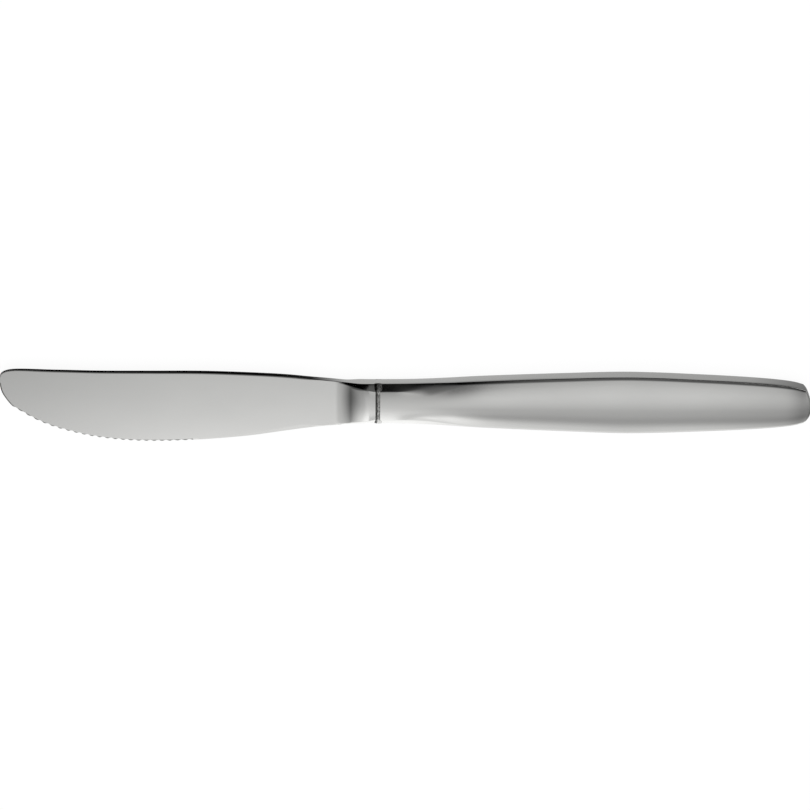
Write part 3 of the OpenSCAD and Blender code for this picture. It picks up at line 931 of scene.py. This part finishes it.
@dataclass
class HollowHandle:
    """Two pressed half shells and the weld between them. Sizes are in millimetres."""

    station: Station
    neck: Neck
    shoulder_places: Share = (4.0, 19.0)
    palm_distance: float = 64.6
    palm_height: float = 15.5
    palm_thickness: float = 8.4
    butt_height: float = 9.1
    butt_thickness: float = 7.0
    butt_bulge: float = 1.75
    butt_edge: float = 0.3
    handle_flat: float = 4.3
    handle_places: Share = (8.0, 28.0)
    butt_flat: float = 4.5
    butt_places: Share = (-16.0, 0.0)
    handle_shoulder: float = 2.77
    shoulder_drop: float = 0.03
    drop_reach: float = 2.2
    relaxed_angle: float = 41.0
    relaxed_places: Share = (-3.5, 7.5)
    steep_angle: float = 50.0
    steep_places: Share = (5.0, 13.0)
    shell_wall: float = 0.9
    seam_width: float = 0.4
    butt_drop: float = 0.35
    butt_run: float = 8.0
    rounding: float = 0.12
    soft_reach: float = 1.3
    soft_places: Share = (-2.0, 7.0)
    firm_reach: float = 0.22
    firm_places: Share = (8.0, 16.0)
    inner_shoulder_share: float = 0.86
    inner_edge_share: float = 0.65
    inner_corner: float = 0.08
    crown_points: int = 18
    crease_points: int = 6
    corner_points: int = 3
    facet_steps: int = 12
    row_step: float = 0.9
    bulge_shares: Sequence[float] = (0.35, 0.7, 1.0)
    edge_turns: Sequence[float] = (30, 60, 90)
    closing_share: float = 0.3
    seam_steps: int = 24
    weld_reach: float = 0.0005
    crease_angle: float = 26.0
    palm_shares: Table = (
        (0.13, 0.05), (0.26, 0.185), (0.39, 0.38), (0.52, 0.55), (0.65, 0.7), (0.78, 0.835),
        (0.9, 0.955))
    butt_shares: Table = (
        (0.18, 0.05), (0.36, 0.155), (0.55, 0.28), (0.73, 0.44), (0.86, 0.61), (0.95, 0.8))

    def __post_init__(self) -> None:
        """Works out the outline and the places along the handle."""
        self.palm_x = self.station.joint + self.palm_distance
        self.corner_x = self.station.butt - self.butt_bulge
        neck, palm, butt = self.neck.height / 2, self.palm_height / 2, self.butt_height / 2
        stations = [(mix(self.station.joint, self.palm_x, s), mix(neck, palm, t))
                    for s, t in [(0, 0), *self.palm_shares]]
        stations += [(mix(self.palm_x, self.corner_x, s), mix(palm, butt, t))
                     for s, t in [(0, 0), *self.butt_shares]]
        self.curve = SmoothCurve(stations + [(self.corner_x, butt)])
        self.cavity_x = self.corner_x - self.shell_wall
        self.radius = (butt * butt + self.butt_bulge ** 2) / (2 * self.butt_bulge)

    def bulge(self, y: float) -> float:
        """Length by which the butt stands past its corners at a height."""
        return self.butt_bulge - self.radius + math.sqrt(self.radius ** 2 - y * y)

    def thickness(self, x: float) -> float:
        """Half thickness of the crown along the handle."""
        if x < self.palm_x:
            share, end = (self.palm_x - x) / self.palm_distance, self.neck.thickness
        else:
            share, end = (x - self.palm_x) / (self.corner_x - self.palm_x), self.butt_thickness
        return mix(self.palm_thickness, end, 1 - math.cos(math.pi / 2 * clamp(share))) / 2

    def section(self, x: float, wall: float = 0.0) -> Section:
        """Front half of the section, from the seam at the top to the seam at the bottom."""
        along, half = x - self.station.joint, self.curve.height(x) - wall
        run, slope = between(along, self.shoulder_places), self.neck.slope
        flat = mix(self.neck.flat, self.handle_flat, between(along, self.handle_places))
        flat = mix(flat, self.butt_flat, between(x - self.corner_x, self.butt_places))
        base = mix(self.neck.shoulder_z, self.handle_shoulder, run)
        drop = self.shoulder_drop * run
        edge = (base - drop - flat / 2) / math.sin(slope)
        if wall:
            base -= wall * self.inner_shoulder_share
            edge = max(edge - wall * self.inner_edge_share, self.inner_corner)
        thick = self.thickness(x) - wall
        top, rim = half - edge * math.cos(slope), base - drop - edge * math.sin(slope)
        hollow, start = (thick - base) / top ** 2, top - self.drop_reach

        def crown(y: float) -> tuple[float, float]:
            past = max(0.0, abs(y) - start) / self.drop_reach
            return y, thick - hollow * y * y - drop * past ** 2

        if not wall:
            tilt = mix(self.neck.shoulder_angle, self.relaxed_angle,
                       between(x, self.relaxed_places))
            tilt = mix(tilt, self.steep_angle, between(x, self.steep_places))
            for _ in range(self.facet_steps):
                top = half - (crown(top)[1] - rim) / math.tan(math.radians(tilt))

        seam = self.seam_width / 2
        soft = mix(self.rounding, self.soft_reach, between(x, self.soft_places))
        soft = mix(soft, self.firm_reach, between(x, self.firm_places))
        corner = softened((half, seam), (half, rim), crown(top), self.rounding, self.corner_points)
        inner = top - min(soft, top / 2)
        slope = -2 * hollow * inner - 2 * drop * max(0.0, inner - start) / self.drop_reach ** 2
        crease = eased_crease((half, rim), crown(top), crown(inner), slope, soft,
                              self.crease_points)
        reach = crease[-1][0] - self.rounding
        inside = [crown(reach * (1 - 2 * k / (self.crown_points - 1)))
                  for k in range(self.crown_points)]
        upper = [(half, seam)] + corner + crease
        return upper + inside + [(-y, z) for y, z in reversed(upper)]

    def rolled(self, point: Vector) -> Vector:
        """Place of a point of the outer face once the butt is rolled down towards its end."""
        past = max(0.0, (point.x - self.station.butt + self.butt_run) / self.butt_run)
        drop = self.butt_drop * past ** 3 * point.z / (self.butt_thickness / 2)
        return Vector((point.x, point.y, max(self.seam_width / 2, point.z - drop)))

    def butt_rows(self) -> list[list[Vector]]:
        """Outer rows past the corner, which bulge, and the last with its edge broken."""
        section = self.section(self.corner_x)
        rows = [[Vector((self.corner_x + (self.bulge(y) - self.butt_edge) * share, y, z))
                 for y, z in section] for share in self.bulge_shares]
        half = self.butt_height / 2
        for turn in map(math.radians, self.edge_turns):
            ahead, down = self.butt_edge * math.sin(turn), self.butt_edge * (1 - math.cos(turn))
            row = []
            for y, z in section:
                inner = y * (1 - down / half)
                end = self.corner_x + self.bulge(inner) - self.butt_edge + ahead
                row.append(Vector((end, inner, max(self.seam_width / 2, z - down))))
            rows.append(row)
        return rows

    def build_shell(self, finish: Finish, front: bool) -> bpy.types.Object:
        """Draws one half shell, with its outer face, its wall and its closed butt."""
        name = "front" if front else "back"
        piece = Piece("pressed_shell_" + name, self.station)
        places = spaced(self.station.shell_start, self.cavity_x, self.row_step) + [self.cavity_x]
        outer = [stood(x, self.section(x)) for x in places + [self.corner_x]] + self.butt_rows()
        skin = piece.loft([[self.rolled(point) for point in row] for row in outer])
        lining = piece.loft([stood(x, self.section(x, self.shell_wall)) for x in places])
        seam = self.seam_width / 2
        limit = self.butt_height / 2 - self.shell_wall
        closing = [Vector((self.cavity_x + self.shell_wall * self.closing_share,
                           clamp(vert.co.y, -limit, limit), seam)) for vert in lining[-1]]
        closed = piece.extrude(lining[-1], closing)
        face = [Vector((self.corner_x + self.bulge(point.y), point.y, seam)) for point in closing]
        end = piece.extrude(closed, face)
        piece.bridge(skin[0], lining[0])
        piece.bridge(skin[-1], end)
        for column in (0, -1):
            piece.bridge([row[column] for row in skin],
                         [row[column] for row in lining + [closed, end]])
        if not front:
            bmesh.ops.scale(piece.mesh, vec=Vector((1, 1, -1)), verts=piece.mesh.verts)
        piece.weld(self.weld_reach)
        piece.crease(self.crease_angle)
        return piece.finish(finish, "handle_steel", "handle_shell_" + name)

    def build_seam(self, finish: Finish) -> bpy.types.Object:
        """Draws the weld bead along the top, the butt and the bottom."""
        piece = Piece("seam_bead", self.station)
        half, wall, seam = self.butt_height / 2, self.shell_wall, self.seam_width / 2
        places = spaced(self.station.shell_start, self.corner_x, self.row_step)
        path = [((x, self.curve.height(x)), (min(x, self.cavity_x), self.curve.height(x) - wall))
                for x in places]
        path.append(((self.corner_x, half), (self.cavity_x, half - wall)))
        for k in range(self.seam_steps + 1):
            y = half * (1 - 2 * k / self.seam_steps)
            inner = clamp(y, wall - half, half - wall)
            edge = self.butt_edge if k in (0, self.seam_steps) else 0.0
            path.append(((self.corner_x + self.bulge(y) - edge, y), (self.cavity_x, inner)))
        path.append(((self.corner_x, -half), (self.cavity_x, wall - half)))
        path += [((x, -self.curve.height(x)), (min(x, self.cavity_x), wall - self.curve.height(x)))
                 for x in reversed(places)]
        piece.loft([[Vector((*outer, seam)), Vector((*outer, -seam)),
                     Vector((*inner, -seam)), Vector((*inner, seam))] for outer, inner in path],
                   closed=True)
        piece.cap()
        piece.crease(self.crease_angle)
        return piece.finish(finish, "seam_steel", "seam_weld")


@dataclass
class SolderJoint:
    """The rough ring of solder between the bolster and the handle. Sizes are in millimetres."""

    station: Station
    handle: HollowHandle
    depth: float = 0.8
    roughness: float = 0.07
    around: int = 220
    groove: Table = (
        (0.0, 0.3), (0.06, 0.2), (0.16, 0.02), (0.3, -0.03), (0.4, 0.05), (0.5, 0.12),
        (0.6, 0.03), (0.72, -0.04), (0.84, 0.02), (0.94, 0.1), (1.0, 0.15))
    spill: Table = (
        (-0.3, 0.0), (-0.18, -0.04), (-0.04, -0.07), (0.12, -0.11), (0.32, -0.14), (0.5, -0.15),
        (0.68, -0.14), (0.88, -0.11), (1.06, -0.07), (1.25, -0.04), (1.42, 0.0))
    spill_start: float = 3.3
    spill_run: float = 1.2
    seat: float = 0.05
    flush_run: float = 0.5
    lump_scale: tuple = (3.0, 1.7, 9.0)
    fine_scale: tuple = (8.0, 5.0, 3.0)
    fine_share: float = 0.5
    calm_rate: float = 6.0
    crease_angle: float = 60.0

    def loop(self) -> list[tuple[Vector, Vector]]:
        """Points evenly spaced round the neck, with their outward directions."""
        half = self.handle.section(self.station.joint)
        whole = half + [(y, -z) for y, z in reversed(half)]
        curve = [Vector(point) for point in whole + whole[:1]]
        lengths = [0.0]
        for a, b in zip(curve, curve[1:]):
            lengths.append(lengths[-1] + (b - a).length)
        points = []
        for k in range(self.around):
            place = lengths[-1] * k / self.around
            index = min(bisect_right(lengths, place), len(lengths) - 1)
            span = lengths[index] - lengths[index - 1]
            points.append(curve[index - 1].lerp(curve[index], (place - lengths[index - 1]) / span))
        made = []
        for k, point in enumerate(points):
            step = points[(k + 1) % self.around] - points[k - 1]
            made.append((point, Vector((-step.y, step.x)).normalized()))
        return made

    def build(self, finish: Finish) -> bpy.types.Object:
        """Draws the ring as a lumpy bead with a crevice on each side."""
        piece = Piece("solder_bead", self.station)
        loop = self.loop()
        sign = 1.0 if loop[0][1].dot(loop[0][0]) > 0 else -1.0
        start, width = self.station.bolster_end, self.station.joint_width

        def placed(share: float, sunk: float, point: Vector, outward: Vector) -> Vector:
            return Vector((start + width * share, *(point - outward * sign * sunk)))

        def lumps(along: float, point: Vector, scale: tuple[float, float, float]) -> float:
            return noise.noise(Vector((along * scale[0], point.x * scale[1],
                                       point.y * scale[1] + scale[2])))

        rows = []
        for (share, sunk), (wide, proud) in zip(self.groove, self.spill):
            row = []
            for point, outward in loop:
                limit = self.handle.neck.flat / 2 + math.copysign(self.flush_run, -point.y)
                free = 1 - ease((limit - abs(point.y)) / self.flush_run)
                spilt = ease((abs(point.x) - self.spill_start) / self.spill_run) * free
                along, below = mix(share, wide, spilt), mix(sunk, proud, spilt) * free
                lump = lumps(along, point, self.lump_scale)
                lump += self.fine_share * lumps(along, point, self.fine_scale)
                calm = min(1.0, self.calm_rate * share, self.calm_rate * (1 - share)) * free
                row.append(placed(along, below - lump * self.roughness * calm, point, outward))
            rows.append(row)
        first, last = self.groove[0][1] + self.seat, self.groove[-1][1] + self.seat
        for share, sunk in ((1.0, last), (1.0, self.depth), (0.0, self.depth), (0.0, first)):
            rows.append([placed(share, sunk, point, outward) for point, outward in loop])
        skin = piece.loft(rows, closed=True)
        piece.bridge(*(row + row[:1] for row in (skin[0], skin[-1])))
        piece.crease(self.crease_angle)
        return piece.finish(finish, "solder", "bolster_solder")


@dataclass
class Studio:
    """The white table, the light tent, the lamp and the camera. Lengths are in metres.

    A table of levels pairs an angle in degrees, or a place along X, with a level of light.
    """

    station: Station
    view_angle: float = 22.0
    view_distance: float = 0.7
    focal_length: float = 120.0
    sensor_width: float = 36.0
    clip: Share = (0.01, 20.0)
    roll: float = 0.33
    drop: float = 1.06
    tent_radius: float = 0.5
    tent_half_length: float = 1.6
    blade_levels: Table = (
        (-92, 0.82), (-76, 0.86), (-64, 1.08), (-56, 1.2), (-50, 1.2), (-44, 1.1), (-36, 0.93),
        (-30, 0.79), (-24, 0.7), (-18, 0.63), (-12, 0.58), (-5, 0.51), (3, 0.4), (10, 0.3),
        (18, 0.18), (28, 0.14), (44, 0.13), (54, 0.1), (60, 0.06), (66, 0.02), (71, 0.0),
        (92, 0.0))
    handle_levels: Table = (
        (-92, 0.95), (-76, 0.85), (-65, 0.71), (-60, 0.66), (-56, 0.57), (-52, 0.47),
        (-48, 0.385), (-44, 0.37), (-40, 0.41), (-36, 0.45), (-28, 0.48), (-24, 0.51),
        (-20, 0.575), (-16, 0.6), (-12, 0.65), (-8, 0.67), (-3, 0.705), (2, 0.71), (6, 0.685),
        (12, 0.655), (16, 0.62), (20, 0.56), (24, 0.52), (28, 0.48), (36, 0.37), (42, 0.3),
        (48, 0.24), (54, 0.2), (60, 0.16), (66, 0.12), (71, 0.1), (92, 0.13))
    end_levels: Table = (
        (-1.6, 0.0), (-1.1, 0.02), (-0.8, 0.13), (-0.62, 0.27), (-0.45, 0.46), (-0.3, 0.66),
        (-0.18, 0.78), (-0.14, 0.89), (-0.1, 0.97), (-0.05, 1.0), (0.15, 1.0), (0.19, 0.85),
        (0.22, 0.66), (0.27, 0.5), (0.42, 0.3), (0.9, 0.1), (1.6, 0.05))
    near_levels: Table = (
        (-0.11, 0.02), (-0.024, 0.02), (-0.015, 0.5), (0.0, 0.52), (0.04, 0.45), (0.09, 0.4),
        (0.105, 0.2))
    below_levels: Table = (
        (-0.11, 0.8), (-0.034, 0.85), (-0.018, 1.15), (0.002, 1.15), (0.02, 0.85), (0.105, 0.75))
    change: Share = (0.004, 0.03)
    lead: float = 0.011
    lead_levels: Table = ((-92, 0.0), (-58, 0.0), (-46, 1.0), (-26, 1.0), (-8, 0.0), (92, 0.0))
    near: Share = (-0.005, -0.01)
    side_places: Table = (
        (-0.11, 0.0095), (0.0, 0.0095), (0.035, 0.011), (0.057, 0.0125), (0.08, 0.0115),
        (0.1, 0.0095))
    side_run: float = 0.0025
    past_ends: Share = (0.11, 0.13)
    table_size: float = 4.0
    table_grey: tuple = (0.9, 0.9, 0.9, 1.0)
    table_glow: float = 0.93
    tent_steps: int = 96
    card_place: tuple = (1.6, 0.0, 0.25)
    card_size: tuple = (0.001, 1.0, 0.5)
    lamp_place: tuple = (0.0, -0.1, 1.3)
    lamp_size: float = 1.2
    lamp_power: float = 14.0
    room_level: float = 0.7

    def build(self) -> None:
        """Sets the table, the tent, the lamp, the world and the camera."""
        self.build_table()
        self.build_tent()
        self.build_cards()
        self.build_lamp()
        self.build_world()
        self.build_camera()

    @staticmethod
    def staged(name: str, mesh: bmesh.types.BMesh,
               material: bpy.types.Material) -> bpy.types.Object:
        """Makes an object of the stage."""
        data = bpy.data.meshes.new(name)
        mesh.to_mesh(data)
        mesh.free()
        data.materials.append(material)
        item = bpy.data.objects.new(name, data)
        bpy.context.scene.collection.objects.link(item)
        return item

    def build_table(self) -> None:
        """Lays a wide white table, dim close to the knife where only reflections see it."""
        mesh = bmesh.new()
        bmesh.ops.create_grid(mesh, x_segments=1, y_segments=1, size=self.table_size)
        sketch = Sketch("white_table")
        x, y, _ = sketch.node("SeparateXYZ", {"Vector": sketch.position()}).outputs
        side = sketch.math("SUBTRACT", y, sketch.ramp(x, self.side_places))
        beside = sketch.ranged(side, (0.0, self.side_run), smooth=True)
        below = sketch.ranged(y, self.near, smooth=True)
        past = sketch.ranged(sketch.math("ABSOLUTE", x), self.past_ends, smooth=True)
        seen = sketch.toward(sketch.ramp(x, self.near_levels), 0.0, beside)
        seen = sketch.toward(seen, sketch.ramp(x, self.below_levels), below)
        seen = sketch.toward(seen, 1.0, past)
        camera, through = sketch.rays()
        level = sketch.math("ADD", camera, sketch.math("MULTIPLY", through, seen))
        cloth = sketch.node("BsdfDiffuse", {"Color": self.table_grey})
        glow = sketch.node("Emission", {"Color": WHITE, "Strength": level})
        share = sketch.math("ADD", sketch.math("MULTIPLY", camera, self.table_glow), through)
        mixed = sketch.node("MixShader", {0: share, 1: cloth.outputs[0], 2: glow.outputs[0]})
        self.staged("table", mesh, sketch.shade(mixed))

    def build_tent(self) -> None:
        """Spins a canopy along the knife, whose light changes with its angle and its length."""
        mesh = bmesh.new()
        first, last = (math.radians(self.blade_levels[index][0]) for index in (0, -1))
        y, z = self.tent_radius * math.sin(first), self.tent_radius * math.cos(first)
        ends = [mesh.verts.new((x, y, z)) for x in (-self.tent_half_length, self.tent_half_length)]
        bmesh.ops.spin(mesh, geom=ends + [mesh.edges.new(ends)], cent=(0, 0, 0), axis=(1, 0, 0),
                       angle=first - last, steps=self.tent_steps, use_merge=False)
        sketch = Sketch("tent_cloth")
        x, y, z = sketch.node("SeparateXYZ", {"Vector": sketch.position()}).outputs
        angle = sketch.math("DEGREES", sketch.math("ARCTAN2", y, z))
        lead = sketch.math("MULTIPLY", sketch.ramp(angle, self.lead_levels), self.lead)
        turn = sketch.ranged(sketch.math("ADD", x, lead), self.change, smooth=True)
        level = sketch.toward(sketch.ramp(angle, self.blade_levels),
                              sketch.ramp(angle, self.handle_levels), turn)
        level = sketch.math("MULTIPLY", level, sketch.ramp(x, self.end_levels))
        self.hide_from_all_but_gloss(self.staged("tent", mesh, sketch.glow(level)))

    @staticmethod
    def hide_from_all_but_gloss(item: bpy.types.Object) -> None:
        """Lets only reflections see an object of the stage."""
        for ray in ("camera", "diffuse", "transmission", "shadow", "volume_scatter"):
            setattr(item, "visible_" + ray, False)

    def build_cards(self) -> None:
        """Stands dark cards beyond the tip and beyond the butt."""
        material = Sketch("black_card").glow(0.0)
        for name, sign in (("card_tip", -1), ("card_butt", 1)):
            mesh = bmesh.new()
            bmesh.ops.create_cube(mesh, size=1.0)
            bmesh.ops.scale(mesh, vec=Vector(self.card_size), verts=mesh.verts)
            place = Vector(self.card_place) * Vector((sign, 1, 1))
            bmesh.ops.translate(mesh, vec=place, verts=mesh.verts)
            self.hide_from_all_but_gloss(self.staged(name, mesh, material))

    def build_lamp(self) -> None:
        """Hangs one wide soft lamp over the table."""
        data = bpy.data.lights.new("softbox", "AREA")
        data.shape, data.energy = "RECTANGLE", self.lamp_power
        data.size = data.size_y = self.lamp_size
        lamp = bpy.data.objects.new("softbox", data)
        lamp.location = self.lamp_place
        lamp.visible_glossy = False
        bpy.context.scene.collection.objects.link(lamp)

    def build_world(self) -> None:
        """Fills the surroundings with white, a little dimmer where they light the table."""
        sketch = Sketch("white_room", "World")
        seen = sketch.math("MAXIMUM", *sketch.rays())
        level = sketch.ranged(seen, (0.0, 1.0), (self.room_level, 1.0))
        white = sketch.node("Background", {"Color": WHITE, "Strength": level})
        bpy.context.scene.world = sketch.shade(white)

    def build_camera(self) -> None:
        """Looks down on the front face, from a little to the spine's side."""
        data = bpy.data.cameras.new("camera")
        data.lens, data.sensor_width = self.focal_length, self.sensor_width
        data.clip_start, data.clip_end = self.clip
        camera = bpy.data.objects.new("camera", data)
        tilt = math.radians(self.view_angle)
        middle = Vector((0, (self.station.centre_y - self.drop) * MM, self.station.middle_z * MM))
        back = Vector((0, math.sin(tilt), math.cos(tilt)))
        up = Vector((0, math.cos(tilt), -math.sin(tilt)))
        axes = Matrix((Vector((1, 0, 0)), up, back)).transposed().to_4x4()
        camera.matrix_world = (Matrix.Translation(middle + back * self.view_distance) @ axes
                               @ Matrix.Rotation(math.radians(self.roll), 4, "Z"))
        bpy.context.scene.collection.objects.link(camera)
        bpy.context.scene.camera = camera


def dress(node: str, finish: Finish) -> None:
    """Gives a node of the frame its finish."""
    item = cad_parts[node]
    item.data.materials.clear()
    item.data.materials.append(finish.material())


def main() -> None:
    """Builds the knife, its finishes and its studio."""
    logging.basicConfig(level=logging.INFO, format="%(name)s %(message)s")
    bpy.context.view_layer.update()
    scene = bpy.context.scene
    scene.view_settings.view_transform = "Standard"
    station = Station.from_frame()
    neck = Neck()
    blade = ForgedBlade(station, neck)
    handle = HollowHandle(station, neck)
    blade_steel = SatinSteel("satin_blade_steel", Brushing.CROSSWISE, roughness=0.14,
                             roughness_spread=0.03, camber_radius=0.18,
                             camber_centre=station.centre_y * MM)
    # The edge steel is rougher because the teeth are ground coarser, and its dark tint is painted
    # dark reflection on the tooth rims.
    painted_dark_edge_steel = SatinSteel("coarse_edge_steel_painted_dark", Brushing.CROSSWISE, tint=(0.3, 0.3, 0.29),
                            roughness=0.42)
    handle_steel = SatinSteel("brushed_handle_steel", Brushing.LENGTHWISE, roughness=0.14,
                              roughness_spread=0.03)
    blade.build(blade_steel, painted_dark_edge_steel)
    blade.build_tang(SatinSteel("forged_tang_steel", Brushing.EVEN, roughness=0.5))
    handle.build_shell(handle_steel, front=True)
    handle.build_shell(handle_steel, front=False)
    handle.build_seam(SatinSteel("ground_seam_steel", Brushing.LENGTHWISE, roughness=0.2))
    solder = RoughSolder("rough_solder", middle=station.middle_z * MM,
                         start=station.bolster_end * MM)
    SolderJoint(station, handle).build(solder)
    dress("tang_cement", DullCement("dull_cement"))
    Studio(station).build()


if __name__ == "__main__":
    main()
